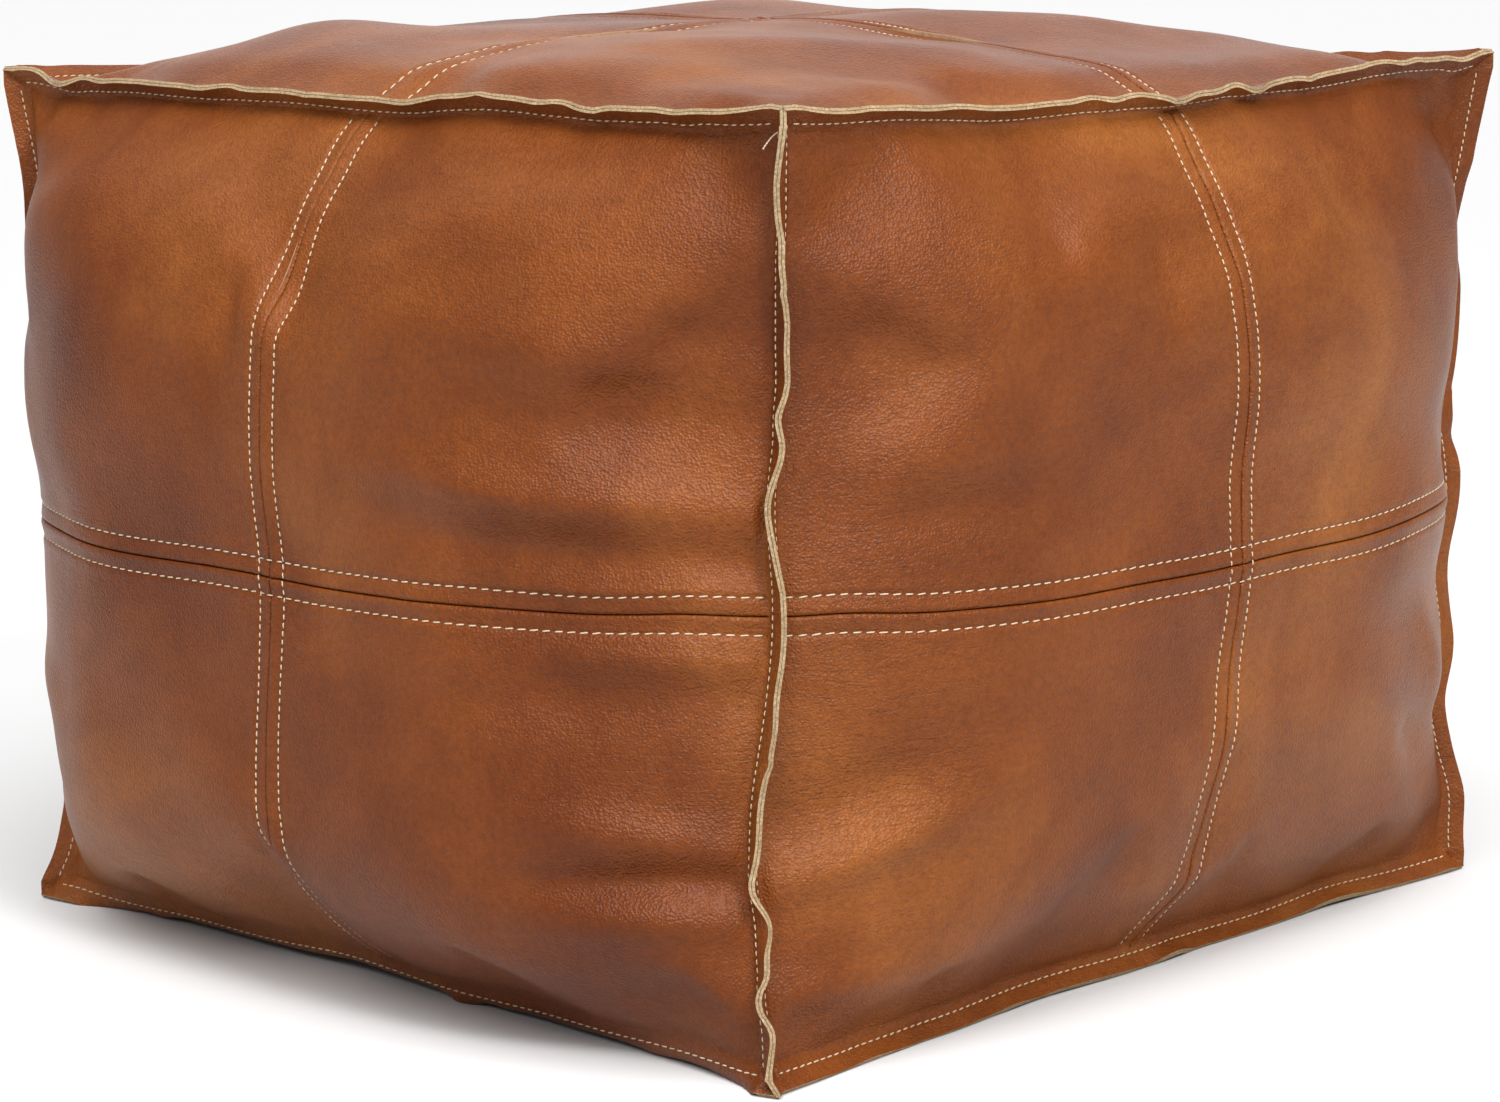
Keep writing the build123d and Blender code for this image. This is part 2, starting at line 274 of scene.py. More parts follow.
def simulate(points, grids):
    """Relax the cover as leather that is a little too large for its filling."""
    mesh = bpy.data.meshes.new("cover_cloth")
    faces = np.concatenate([grid_faces(grid) for grid in grids.values()])
    mesh.from_pydata((points * MM).tolist(), [], faces.tolist())
    cloth = add_object("cover_cloth", mesh)
    corners = [grid[i, j] for grid in grids.values() for i in (0, -1) for j in (0, -1)]
    held = np.unique(np.concatenate([grids["base"][3:-3, 3:-3].ravel(), corners]))
    cloth.vertex_groups.new(name="held").add(held.tolist(), 1.0, "REPLACE")
    modifier = cloth.modifiers.new("cloth", "CLOTH")
    for name, value in cloth_settings.items():
        setattr(modifier.settings, name, value)
    modifier.settings.effector_weights.gravity = 0
    modifier.collision_settings.use_collision = False
    modifier.collision_settings.use_self_collision = False
    modifier.point_cache.frame_start = 1
    modifier.point_cache.frame_end = cloth_steps
    scene = bpy.context.scene
    for step in range(cloth_steps):
        scene.frame_set(step + 1)
    view = cloth.evaluated_get(bpy.context.evaluated_depsgraph_get())
    done = np.zeros(len(points) * 3, np.float32)
    view.data.vertices.foreach_get("co", done)
    moved = done.reshape(-1, 3).astype(float) / MM - points
    bpy.data.objects.remove(cloth)
    bpy.data.meshes.remove(mesh)
    scene.frame_set(1)
    size = np.linalg.norm(moved, axis=1)
    moved *= (most_move * np.tanh(size / most_move) / np.maximum(size, 1e-6))[:, None]
    free = np.zeros(len(points))
    for grid in grids.values():      # what stays is the wrinkles, since the broad shape is already right
        u, v = (np.linspace(-1, 1, count) for count in grid.shape)
        basis_u, basis_v = (np.polynomial.chebyshev.chebvander(at, 3) for at in (u, v))
        fit_u, fit_v = basis_u @ np.linalg.pinv(basis_u), basis_v @ np.linalg.pinv(basis_v)
        broad = np.einsum("ai,ijc,bj->abc", fit_u, moved[grid], fit_v)
        depth = np.minimum.outer(1 - np.abs(u), 1 - np.abs(v))
        moved[grid] -= broad * ease(depth / 0.3)[..., None]
        free[grid] = 0.3 + 0.7 * ease(depth / 0.14)
    relaxed = points + moved * free[:, None]
    base = grids["base"].ravel()
    relaxed[base, 2] = points[base, 2]
    return relaxed


def spline_weights(count, s):
    """Matrices for the value and slope at s, from -1 to 1, of a natural cubic spline of count points."""
    at = (np.clip(s, -1, 1) + 1) / 2 * (count - 1)
    left, right = np.zeros((2, count, count))
    left[0, 0] = left[-1, -1] = 1
    for k in range(1, count - 1):
        left[k, k - 1:k + 2] = (1, 4, 1)
        right[k, k - 1:k + 2] = (6, -12, 6)
    curve = np.linalg.solve(left, right)
    cell = np.clip(np.floor(at).astype(int), 0, count - 2)
    t = (at - cell)[:, None]
    eye = np.eye(count)
    y0, y1, m0, m1 = eye[cell], eye[cell + 1], curve[cell], curve[cell + 1]
    value = (1 - t) * y0 + t * y1 + ((1 - t) ** 3 - (1 - t)) * m0 / 6 + (t**3 - t) * m1 / 6
    slope = y1 - y0 + (1 - 3 * (1 - t) ** 2) * m0 / 6 + (3 * t**2 - 1) * m1 / 6
    return value, slope


sheets = {}
for name in face_axes:
    us = np.linspace(-1, 1, side_cells + 1)
    vs = us if name in ("top", "base") else np.linspace(-1, 1, up_cells + 1)
    uu, vv = np.meshgrid(us, vs, indexing="ij")
    sheets[name] = us, vs, stuffed_face(name, uu.ravel(), vv.ravel())
points, grids = weld(sheets, box_cells)
points = simulate(points, grids)
surface = {name: points[grid] for name, grid in grids.items()}
bpy.context.view_layer.update()


def half_sizes(name):
    """Half of a face's width and height along its own u and v, seam to seam."""
    u_axis, v_axis, _ = face_axes[name]
    return abs(u_axis @ half_extent), abs(v_axis @ half_extent)


def sheet_points(name, u, v, paired=False):
    """Smooth points and outward normals of a face, at all of u by all of v or at pairs of u and v."""
    grid = surface[name]
    u_value, u_slope = spline_weights(grid.shape[0], u)
    v_value, v_slope = spline_weights(grid.shape[1], v)
    rows, rises = np.tensordot(u_value, grid, 1), np.tensordot(u_slope, grid, 1)
    how = "ajc,aj->ac" if paired else "ajc,bj->abc"
    along_u, along_v = np.einsum(how, rises, v_value), np.einsum(how, rows, v_slope)
    return np.einsum(how, rows, v_value), unit(np.cross(along_u, along_v))


# ---- relief of the leather

rng = np.random.default_rng(7)
swells = {}              # broad soft waves: frequency, phase and size
for name in face_axes:
    swells[name] = [
        (rng.uniform(0.35, 1.0) * rng.choice([-1, 1], 2) / 40, rng.uniform(0, 6.3), rng.uniform(0.5, 1.0))
        for _ in range(7)
    ]
fold_height = 1.6        # scale of the heights in face_folds


def fold(x, y, x_start, y_start, x_end, y_end, height, width):
    """A soft ridge (or, with a negative height, a crease) between two points of a face."""
    way = np.array([x_end - x_start, y_end - y_start], float)
    length = np.hypot(*way)
    way /= length
    along = (x - x_start) * way[0] + (y - y_start) * way[1]
    across = -(x - x_start) * way[1] + (y - y_start) * way[0]
    fade = ease(along / length + 0.5) * ease(1.5 - along / length)
    return fold_height * height * fade * np.exp(-((across / width) ** 2))


# folds on each face: from x, y to x, y, height and width, in millimetres from the face's middle
face_folds = {
    "left": [
        (95, 55, 240, 42, 3.6, 11), (105, 30, 240, 22, -2.2, 9), (150, 12, 242, 8, 2.0, 7),
        (160, -16, 240, -20, 2.2, 9), (120, -40, 240, -36, -1.8, 12), (170, -92, 243, -100, 2.6, 10),
        (165, -118, 243, -114, -3.4, 8), (170, -138, 243, -130, 2.4, 10), (120, 112, 238, 100, 2.0, 12),
        (130, 84, 238, 78, -1.6, 11), (-235, 150, -150, 182, -3.0, 14), (-240, 110, -205, 40, 2.2, 12),
        (-60, 178, 20, 120, -1.8, 16), (-238, -60, -190, -90, 1.8, 14), (-232, -105, -196, -135, -1.6, 12),
        (60, 150, 190, 176, 1.4, 16),
    ],
    "front": [
        (-242, -118, -168, -92, 3.2, 11), (-240, -92, -170, -62, -2.2, 14), (-238, 70, -150, 60, 1.4, 14),
        (-235, 35, -160, 42, -1.2, 12), (-242, -168, -190, -160, 1.6, 9), (190, -70, 236, -150, 2.6, 13),
        (160, -95, 215, -165, -2.0, 13), (205, 40, 238, -30, -2.0, 13), (90, 160, 180, 100, -1.6, 18),
        (-120, 182, 20, 176, -1.2, 14), (150, 182, 236, 172, -2.2, 10),
    ],
    "top": [
        (-215, -60, -150, -200, 2.0, 22), (-160, -90, -30, -190, 2.6, 26), (-190, -150, -60, -240, -1.6, 20),
        (-60, -60, 60, -170, -2.4, 30), (-150, 40, -60, -20, -3.0, 24), (40, -60, 150, -150, 2.0, 28),
        (-200, 80, -120, 180, 4.5, 40), (30, 60, 150, 90, 4.0, 50),
    ],
    "back": [
        (-238, 80, -150, 70, 2.4, 12), (-238, -40, -160, -52, -2.0, 12), (150, 30, 240, 38, 2.6, 12),
        (160, -110, 240, -122, -2.6, 11),
    ],
    "right": [
        (-238, 20, -150, 30, 2.2, 12), (-238, -110, -165, -96, -2.4, 12), (140, 90, 240, 78, 2.4, 13),
        (165, -60, 240, -72, 2.0, 11),
    ],
    "base": [],
}


def cross_relief(d):
    """Height at a distance from a cross seam: padded over the turned-in edges, sewn down at the row."""
    padded = 1.05 * bump(d, 1.6, 3.9) + 0.25 * bump(d, 10.8, 2.4)
    return padded - 0.55 * bump(d, row_offset, 1.0) - 0.6 * bump(d, 0, 15)


def relief(name, x, y):
    """Height of the leather over the smooth face, at x and y from the face's middle."""
    half_u, half_v = half_sizes(name)
    height = np.zeros(np.broadcast(x, y).shape)
    for frequency, phase, size in swells[name]:
        height += 0.28 * size * np.sin(6.3 * (frequency[0] * x + frequency[1] * y) * 0.4 + phase)
    for numbers in face_folds[name]:
        height += fold(x, y, *numbers)
    gap_u, gap_v = half_u - np.abs(x), half_v - np.abs(y)
    for gap, run in ((gap_u, y), (gap_v, x)):
        pucker = 0.5 * np.sin(run / 5.7 + 1.3 * np.sin(run / 23)) + 0.5 * np.sin(run / 9.1 + 2.0)
        height += 0.45 * pucker * bump(gap, 5, 9)
    height *= ease(np.minimum(gap_u, gap_v) / 7)
    height += cross_relief(np.abs(x)) + cross_relief(np.abs(y))
    height += 0.22 * np.sign(x) * bump(x, 0, 5) - 0.22 * np.sign(y) * bump(y, 0, 5)
    for across, run in ((np.abs(x), y), (np.abs(y), x)):
        pucker = np.sin(run / 3.9 + 1.1 * np.sin(run / 17)) * np.sin(run / 13.0)
        height += 0.16 * pucker * bump(across, 10.5, 4.0)
    if name == "base":
        height = 0.25 * np.minimum(height, 0)
    return height


# ---- flanges

flange_steps = np.array([0.7, 1.7, 2.6, 3.2, 3.8, 5.2, 7.0, 8.8, 10.2, flange])
skived = leather - 0.38 * ease(flange_steps / flange)    # the edges are pared a little


def flange_field(key):
    """The flange's course over its edge seam: places along it, seam points and directions out of it."""
    s = np.linspace(-1, 1, box_cells[key.index(0)] + 1)
    inward = []
    for name in face_axes:
        for fixed in ("u", "v"):
            for sign in (-1, 1):
                other, way = face_edge(name, fixed, sign)
                if other != key:
                    continue
                rows = surface[name] if fixed == "u" else surface[name].transpose(1, 0, 2)
                rows = rows[::-sign, ::way]
                seam = rows[0]
                inward.append(unit(rows[2] - rows[0]))
    run = unit(np.gradient(seam, axis=0))
    rest = unit(np.array(key, float))
    out = unit(np.cross(run, inward[0] - inward[1]))
    out *= np.sign(out @ rest)[:, None]
    for _ in range(6):
        out[1:-1] = (out[:-2] + 2 * out[1:-1] + out[2:]) / 4
    share = (0.6 * (1 - np.abs(s) ** 3))[:, None]
    return s, seam, unit(share * out + (1 - share) * rest)


# How a flange leans, in degrees: towards which face and how far, waves along it (size, rate, start), and
# local kinks (place, width, size).
edge_lean = {
    (-1, -1, 0): ("front", 19, ((3, 4.1, 0.6), (3, 9.7, 2.0)),
                  ((0.9, 0.14, -38), (0.75, 0.02, -16), (0.42, 0.03, -20), (0.2, 0.13, -28),
                   (-0.57, 0.045, -26), (-0.68, 0.05, 10), (-0.84, 0.035, -34), (-0.93, 0.05, 10))),
    (-1, 1, 0): ("back", 30, ((9, 3.0, 1.0), (6, 8.1, 0.3)), ((0.85, 0.3, -40), (0.36, 0.1, -30))),
    (1, -1, 0): ("right", 20, ((9, 3.4, 2.0), (7, 7.3, 4.0)),
                 ((0.75, 0.3, 22), (0.1, 0.06, 22), (-0.5, 0.08, -20))),
    (1, 1, 0): ("back", 6, ((12, 3.9, 0.0), (8, 7.9, 1.0)), ()),
    (-1, 0, 1): ("left", 15, ((3, 3.1, 0.7), (2, 8.3, 2.1)),
                 ((-0.95, 0.07, 5), (0.86, 0.03, 22), (0.95, 0.03, -26))),
    (0, -1, 1): ("front", 17, ((4, 3.6, 0.2), (3, 9.3, 0.4)),
                 ((-0.93, 0.1, 6), (0.55, 0.3, -12), (0.0, 0.05, 16), (0.06, 0.012, -14), (0.1, 0.02, 14),
                  (0.16, 0.015, -12), (0.2, 0.03, 12))),
    (0, 1, 1): ("back", 14, ((8, 3.3, 1.2), (5, 7.7, 0.4)), ()),
    (1, 0, 1): ("right", 16, ((8, 3.7, 0.2), (5, 8.9, 2.4)), ()),
    (-1, 0, -1): ("base", 100, ((5, 3.1, 0.7),), ((0.97, 0.09, -90), (-0.2, 0.05, -26))),
    (0, -1, -1): ("front", 8, ((5, 3.1, 0.7), (3, 9.3, 2.1)), ((0.13, 0.04, 16),)),
    (0, 1, -1): ("back", 6, ((4, 3.9, 0.7),), ()),
    (1, 0, -1): ("right", 6, ((4, 3.5, 0.7),), ()),
}
edges, sides = {}, {}
for key, (toward, steady, waves, kinks) in edge_lean.items():
    s, seam, out = flange_field(key)
    angle = np.full(len(s), float(steady))
    for size, rate, start in waves:
        angle += size * np.sin(rate * s + start)
    for place, width, size in kinks:
        angle += size * bump(s, place, width)
    angle *= 1 - np.abs(s) ** 14
    sides[key] = np.cross(np.array(key) == 0, np.array(key, float))
    edges[key] = (seam, out, np.radians(angle) * np.sign(sides[key] @ face_axes[toward][2]))


def flange_middle(key, s):
    """Points of the plane between a flange's two layers at places s along it, and the direction across it."""
    seam, out, angle = edges[key]
    value, slope = spline_weights(len(seam), s)
    seam, out, run, angle = value @ seam, unit(value @ out), unit(slope @ seam), value @ angle
    across = np.cross(run, out)
    places, ways = [], []
    at, last = seam.copy(), 0.0
    phase = key[0] + 2.2 * key[1] + 3.7 * key[2]
    draw = np.random.default_rng(int(40 + 9 * key[0] + 3 * key[1] + key[2]))
    pinch = np.zeros(len(s))
    for place, size in zip(draw.uniform(-0.9, 0.9, 9), draw.normal(0, 0.26, 9)):
        pinch += size * np.exp(-np.abs(s - place) / 0.03) * (1 - s**10)
    for step in flange_steps:
        part = (last + step) / 2 / flange
        ripple = 0.2 * np.sin(31 * s + 3 * np.sin(6 * s + phase)) * np.sin(7 * s + 2 * phase) ** 4 * part
        turn = angle * (0.35 + 0.9 * part) + ripple + pinch * part * (0.5 if key[2] < 0 else 1.0)
        way = out * np.cos(turn)[:, None] + across * np.sin(turn)[:, None]
        at = at + way * (step - last)
        places.append(at)
        ways.append(across * np.cos(turn)[:, None] - out * np.sin(turn)[:, None])
        last = step
    return np.array(places), np.array(ways)


def floor_clamp(points, low):
    points[..., 2] = np.maximum(points[..., 2], low)
    return points


# ---- panels

roll_outer = [(0.14, 2.4), (0.14, 1.5), (0.24, 0.85), (0.5, 0.36), (1.0, 0.08)]
roll_inner = [(1.8, 2.6), (1.8, 2.2), (1.85, 1.9), (1.92, 1.72), (2.0, 1.63)]
roll_flange = np.array([0.04, 0.12, 0.26, 0.5, 1.0])    # where these rows lie on the flange, flat there
near_rows = np.arange(2.1, 13.0, 0.7)    # further rows, from the cross seam
far_rows = np.array([12.5, 11.0, 9.5, 8.0, 6.6, 5.2, 3.9, 2.7])    # the last rows, from the edge seam
row_step = 2.3           # between the rows elsewhere
seam_crease = 0.4        # how far the flange's first row stands out over its seam
stitch_groove = 0.28
zip_half_gap = 6.0
zip_half_length = 195.0


def rows_of(half, layer):
    """Rows across half a face: distance from the cross seam and depth, outside (layer 0) or inside (1)."""
    far = half - far_rows
    between = np.linspace(near_rows[-1], far[0], int((far[0] - near_rows[-1]) / row_step) + 1)[1:-1]
    body = [(d, leather * layer) for d in np.concatenate([near_rows, between, far])]
    return np.array([roll_outer, roll_inner][layer] + body).T


def panel_sheet(name, side_u, side_v, layer):
    """Points of a panel's outer (layer 0) or inner (layer 1) skin, body and flanges, as a grid."""
    u_axis, v_axis, normal = face_axes[name]
    half_u, half_v = half_sizes(name)
    (across_u, deep_u), (across_v, deep_v) = rows_of(half_u, layer), rows_of(half_v, layer)
    count_u, count_v = len(across_u), len(across_v)
    u, v = side_u * across_u / half_u, side_v * across_v / half_v
    x, y = (side_u * across_u)[:, None], (side_v * across_v)[None, :]
    place, way = sheet_points(name, u, v)
    deep = np.maximum(deep_u[:, None], deep_v[None, :])
    if name == "base":    # the slit for the zip
        open_part = 1 - ease((np.abs(y) - zip_half_length + 4) / 6)
        place[..., 0] += side_u * (zip_half_gap - 0.25) * open_part * ease((40 - np.abs(x)) / 34)
        place[..., 2] = base_shape(place.reshape(-1, 3)).reshape(place.shape)[..., 2]
        way = np.broadcast_to(normal, place.shape)
    height = relief(name, x, y)
    if layer == 1:
        height = height * (deep <= leather)
    steps = len(flange_steps)
    sheet = np.zeros((count_u + steps, count_v + steps, 3))
    sheet[:count_u, :count_v] = place + way * (height - deep)[..., None]
    skin, crease, groove = np.full(steps, layer_gap), np.zeros(steps), np.zeros(steps)
    if layer == 0:
        skin += skived
        crease[0] = seam_crease
        groove[np.abs(flange_steps - edge_row) < 0.1] = -stitch_groove
    lift = (skin + crease + groove)[:, None, None]

    def strip(fixed, sign, along):
        key, turn = face_edge(name, fixed, sign)
        middle_points, across = flange_middle(key, turn * along)
        return middle_points, across * np.sign(sides[key] @ normal)

    flat_u, flat_v = u.copy(), v.copy()
    flat_u[:5] = side_u * roll_flange / half_u
    flat_v[:5] = side_v * roll_flange / half_v
    strip_u, out_u = strip("u", side_u, flat_v)
    strip_v, out_v = strip("v", side_v, flat_u)
    sheet[count_u:, :count_v] = strip_u + out_u * lift
    sheet[:count_u, count_v:] = (strip_v + out_v * lift).transpose(1, 0, 2)

    # the corner, where the two flanges meet in an ear
    end_u, end_out_u = (part[:, 0] for part in strip("u", side_u, np.array([float(side_v)])))
    end_v, end_out_v = (part[:, 0] for part in strip("v", side_v, np.array([float(side_u)])))
    ear = side_u * u_axis + side_v * v_axis + normal
    corner = corner_point(whole(ear))
    for i, p in enumerate(flange_steps):
        for j, q in enumerate(flange_steps):
            end, across = (end_u[i], end_out_u[i]) if p >= q else (end_v[j], end_out_v[j])
            if i == j:
                across = unit(end_out_u[i] + end_out_v[j])
            low, high = min(p, q), max(p, q)
            spot = corner + (end - corner) * ((high - low) / high) + ear / math.sqrt(2) * low
            sheet[count_u + i, count_v + j] = spot + across * (skin[max(i, j)] + crease[min(i, j)])
    return sheet


def to_object(name, points, faces, slots, materials, smooth_angle=50):
    """A mesh object in metres from points in millimetres; slots gives each face's material."""
    mesh = bpy.data.meshes.new(name)
    mesh.vertices.add(len(points))
    mesh.vertices.foreach_set("co", (points * MM).astype(np.float32).ravel())
    sizes = np.array([len(face) for face in faces])
    flat = np.concatenate(faces)
    mesh.loops.add(len(flat))
    mesh.loops.foreach_set("vertex_index", flat.astype(np.int32))
    mesh.polygons.add(len(sizes))
    mesh.polygons.foreach_set("loop_start", (np.cumsum(sizes) - sizes).astype(np.int32))
    mesh.polygons.foreach_set("material_index", np.broadcast_to(slots, len(sizes)).astype(np.int32))
    mesh.polygons.foreach_set("use_smooth", np.ones(len(sizes), bool))
    for material in materials:
        mesh.materials.append(material)
    mesh.update()
    mesh.validate()
    if smooth_angle:
        mesh.set_sharp_from_angle(angle=math.radians(smooth_angle))
    return add_object(name, mesh)


def stands_for(piece, node):
    """The piece takes the place of a CAD node of the cover's body."""
    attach(piece, "cover")
    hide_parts(node)


def closed_sheet(first, second, flip):
    """A sheet between two grids of points: points, quads of its skins and rim, and the rim's own points."""
    run = np.arange(first.shape[0] * first.shape[1]).reshape(first.shape[:2])
    border = np.concatenate([run[:, 0], run[-1, 1:], run[-2::-1, -1], run[0, -2:0:-1]])
    after = np.roll(border, -1)
    cut = np.stack([after, border, border + run.size, after + run.size], 1)
    faces = [grid_faces(run, flip), grid_faces(run + run.size, not flip), cut[:, ::-1] if flip else cut]
    return np.concatenate([first.reshape(-1, 3), second.reshape(-1, 3)]), faces, border, after


panel_sides = {          # how the CAD's panel names put a face's u and its v, below and above 0
    "front": ("left", "right"), "back": ("right", "left"), "left": ("back", "front"),
    "right": ("front", "back"), "top": ("left", "right"), "base": ("left", "right"),
}
panel_levels = {"top": ("front", "back"), "base": ("back", "front")}


def make_panel(name, side_u, side_v, materials):
    """One leather panel: outer and inner skin, and the cut edge between them."""
    skins = [panel_sheet(name, side_u, side_v, layer) for layer in (0, 1)]
    for skin, gap in zip(skins, (0.2, 0.35)):
        floor_clamp(skin, gap)
    points, faces, border, after = closed_sheet(*skins, side_u * side_v < 0)
    rows, columns = skins[0].shape[:2]
    at, following = (np.stack(np.divmod(k, columns), 1) == (rows - 1, columns - 1) for k in (border, after))
    raw = (at & following).any(1)
    slots = np.concatenate([np.zeros(len(faces[0])), np.ones(len(faces[1])), np.where(raw, 2, 1)])
    level = panel_levels.get(name, ("lower", "upper"))[side_v > 0]
    label = f"{name}_{level}_{panel_sides[name][side_u > 0]}"
    panel = to_object(f"{label}_leather", points, np.concatenate(faces), slots, materials)
    stands_for(panel, f"{label}_panel")


# ---- materials


class Nodes:
    """The node tree of a new material, or of the world, written as calls."""

    def __init__(self, owner):
        if isinstance(owner, str):
            owner = bpy.data.materials.new(owner)
        owner.use_nodes = True
        self.owner, self.tree = owner, owner.node_tree
        self.tree.nodes.clear()
        self.texture = self.add("TexCoord")
        self.place = self.texture.outputs["Object"]

    def add(self, kind, **settings):
        node = self.tree.nodes.new("ShaderNode" + kind)
        for key, value in settings.items():
            setattr(node, key, value)
        return node

    def feed(self, socket, value):
        """Link a socket to another one, or set its value."""
        if isinstance(value, bpy.types.NodeSocket):
            self.tree.links.new(value, socket)
        elif hasattr(value, "__len__") and socket.type == "RGBA":
            socket.default_value = (*value, 1)
        else:
            socket.default_value = value

    def put(self, node, **values):
        for key, value in values.items():
            self.feed(node.inputs[key.replace("_", " ")], value)
        return node

    def shader(self, **values):
        """Close a material with its Principled shader."""
        shader = self.put(self.add("BsdfPrincipled"), **values)
        self.put(self.add("OutputMaterial"), Surface=shader.outputs["BSDF"])
        return self.owner

    def stretch(self, x, y, z):
        return self.put(self.add("Mapping"), Vector=self.place, Scale=(x, y, z)).outputs["Vector"]

    def noise(self, scale, detail=3.0, rough=0.55, where=None, distort=0.0):
        return self.put(
            self.add("TexNoise"), Scale=scale, Detail=detail, Roughness=rough, Distortion=distort,
            Vector=where or self.place,
        ).outputs["Fac"]

    def ramp(self, value, *stops):
        node = self.put(self.add("ValToRGB"), Fac=value)
        marks = node.color_ramp.elements
        while len(marks) < len(stops):
            marks.new(0.5)
        for mark, (place, colour) in zip(marks, stops):
            mark.position = place
            mark.color = (*colour, 1) if hasattr(colour, "__len__") else (colour, colour, colour, 1)
        return node.outputs["Color"]

    def math(self, operation, a, b=0.0, kind="Math", output="Value"):
        node = self.add(kind, operation=operation)
        self.feed(node.inputs[0], a)
        self.feed(node.inputs[1], b)
        return node.outputs[output]

    def mix(self, share, a, b, blend="MIX"):
        node = self.put(self.add("Mix", data_type="RGBA", blend_type=blend), Factor=share, A=a, B=b)
        return next(socket for socket in node.outputs if socket.type == "RGBA")

    def tint(self, colour, share, value, *stops):
        """Multiply a colour, by its share, with a ramp of a value."""
        return self.mix(share, colour, self.ramp(value, *stops), "MULTIPLY")

    def raise_by(self, height, distance, strength=1.0, under=None):
        node = self.put(self.add("Bump"), Height=height, Distance=distance, Strength=strength)
        if under:
            self.put(node, Normal=under)
        return node.outputs["Normal"]


def leather_material():
    """Waxed leather: broad patches and stains, specks, fine crease lines in places with painted shade along
    them, and a pebbled grain.
    """
    n = Nodes("leather_brown")
    colour = n.ramp(
        n.noise(4.5, 4, 0.6, distort=0.8),
        (0.26, (0.112, 0.0245, 0.003)), (0.5, (0.18, 0.0475, 0.0066)), (0.74, (0.27, 0.09, 0.0165)),
    )
    patches = n.noise(15, 5, 0.62, distort=0.5)
    colour = n.tint(colour, 0.8, patches, (0.32, (0.74, 0.68, 0.66)), (0.6, 1.0), (0.8, 1.12))
    colour = n.tint(colour, 0.8, n.noise(2.4, 2, 0.5), (0.36, (0.84, 0.76, 0.74)), (0.6, 1.0))
    colour = n.tint(colour, 0.75, n.noise(330, 4, 0.75), (0.32, (0.74, 0.7, 0.66)), (0.62, 1.1))
    lines = n.noise(1.0, 3, 0.55, where=n.stretch(30, 30, 210), distort=0.7)
    lines = n.math("ABSOLUTE", n.math("SUBTRACT", lines, 0.5))
    lines = n.ramp(lines, (0.0, 0.0), (0.035, 0.85), (0.09, 1.0))
    soft_lines = n.noise(1.0, 3, 0.6, where=n.stretch(58, 58, 350), distort=0.5)
    where_lines = n.ramp(n.noise(6, 3, 0.55), (0.46, 0.03), (0.68, 0.9))
    creases = n.math("MULTIPLY", n.math("ADD", lines, soft_lines), where_lines)
    crease_shade = n.math("MULTIPLY", n.math("SUBTRACT", 1.0, lines), where_lines)
    # painted shade: the colour is darkened along the crease lines
    colour = n.tint(colour, 0.7, crease_shade, (0.0, 1.0), (1.0, 0.92))
    pebble = n.put(n.add("TexVoronoi"), Scale=820, Vector=n.place).outputs["Distance"]
    pores = n.noise(1500, 2, 0.6)
    grain = n.math("ADD", n.math("MULTIPLY", pebble, 0.7), n.math("MULTIPLY", pores, 0.3))
    rough = n.ramp(n.noise(9, 4, 0.6), (0.3, 0.27), (0.7, 0.4))
    normal = n.raise_by(creases, 0.0006, 0.42)
    normal = n.raise_by(n.noise(75, 4, 0.6), 0.0011, 0.4, normal)
    normal = n.raise_by(grain, 0.0008, 0.8, normal)
    return n.shader(Base_Color=colour, Roughness=rough, Normal=normal, IOR=1.45, Specular_IOR_Level=0.22)


def raw_edge_material():
    n = Nodes("leather_cut_edge")
    fibre = n.noise(1.0, 5, 0.7, where=n.stretch(900, 900, 900))
    colour = n.ramp(
        fibre, (0.28, (0.13, 0.08, 0.036)), (0.5, (0.31, 0.215, 0.115)), (0.75, (0.53, 0.41, 0.26)),
    )
    colour = n.tint(colour, 0.8, n.noise(140, 3, 0.6), (0.3, (0.75, 0.7, 0.62)), (0.6, 1.0))
    return n.shader(Base_Color=colour, Roughness=0.82, Normal=n.raise_by(fibre, 0.0006, 0.7))


def fibre_material(name, noise, dark, light, raised, rough, **more):
    """One noise colours the surface and raises it, and its roughness may follow it too."""
    n = Nodes(name)
    fibre = n.noise(*noise)
    colour = n.ramp(fibre, dark, light)
    if isinstance(rough, tuple):
        rough = n.ramp(fibre, *rough)
    return n.shader(Base_Color=colour, Roughness=rough, Normal=n.raise_by(fibre, *raised), **more)


def cloth_material(name, dark, light, across, along):
    """A plain weave with its threads along X and Y."""
    n = Nodes(name)
    threads = []
    for direction, scale in (("X", across), ("Y", along)):
        wave = n.add("TexWave", bands_direction=direction)
        threads.append(n.put(wave, Scale=scale, Distortion=0.4, Vector=n.place).outputs["Fac"])
    weave = n.math("MAXIMUM", *threads)
    slub = n.noise(160, 4, 0.6)
    colour = n.tint(n.mix(slub, dark, light), 0.8, weave, (0.2, 0.7), (0.9, 1.0))
    normal = n.raise_by(slub, 0.0006, 0.3, n.raise_by(weave, 0.0003, 0.7))
    return n.shader(Base_Color=colour, Roughness=0.85, Normal=normal, Sheen_Weight=0.2)


def wadding_material():
    n = Nodes("wadding_white")
    tufts = n.noise(38, 6, 0.7, distort=1.2)
    colour = n.ramp(tufts, (0.3, (0.62, 0.6, 0.56)), (0.65, (0.86, 0.85, 0.82)))
    normal = n.raise_by(n.noise(700, 3, 0.7), 0.0005, 0.6, n.raise_by(tufts, 0.006, 0.7))
    return n.shader(Base_Color=colour, Roughness=1.0, Normal=normal, Sheen_Weight=0.4)


